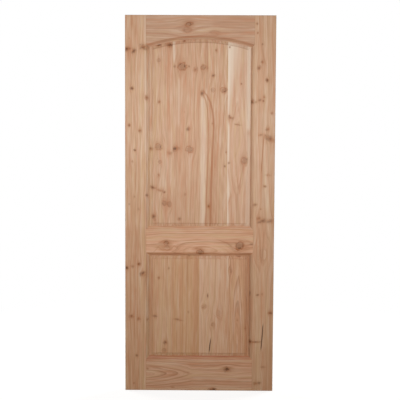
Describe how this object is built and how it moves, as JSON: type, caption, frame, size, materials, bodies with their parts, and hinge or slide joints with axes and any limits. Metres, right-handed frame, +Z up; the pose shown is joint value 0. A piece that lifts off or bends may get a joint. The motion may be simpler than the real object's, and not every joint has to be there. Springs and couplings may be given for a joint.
{
  "type": "panelled exterior door leaf",
  "caption": "Solid knotty fir exterior door leaf: stiles and coped rails with a moulded edge hold raised, edge-glued panels, the upper one under an arched head.",
  "frame": {"origin": "middle of the thickness on the hinge edge, at the foot of the leaf", "axes": "+X from the hinge edge to the latch edge, +Y from the outside face to the inside face, +Z up"},
  "size_m": [0.806, 0.0446, 2.032],
  "materials": {
    "stiles": "sanded, unfinished",
    "rails": "sanded, unfinished",
    "panels": "sanded, unfinished"
  },
  "bodies": {
    "root": {"hinge_stile": "stiles", "latch_stile": "stiles", "top_rail": "rails", "lock_rail": "rails", "bottom_rail": "rails", "upper_panel_stave_1": "panels", "upper_panel_stave_2": "panels", "upper_panel_stave_3": "panels", "upper_panel_stave_4": "panels", "lower_panel_stave_1": "panels", "lower_panel_stave_2": "panels", "lower_panel_stave_3": "panels", "lower_panel_stave_4": "panels"}
  },
  "joints": []
}
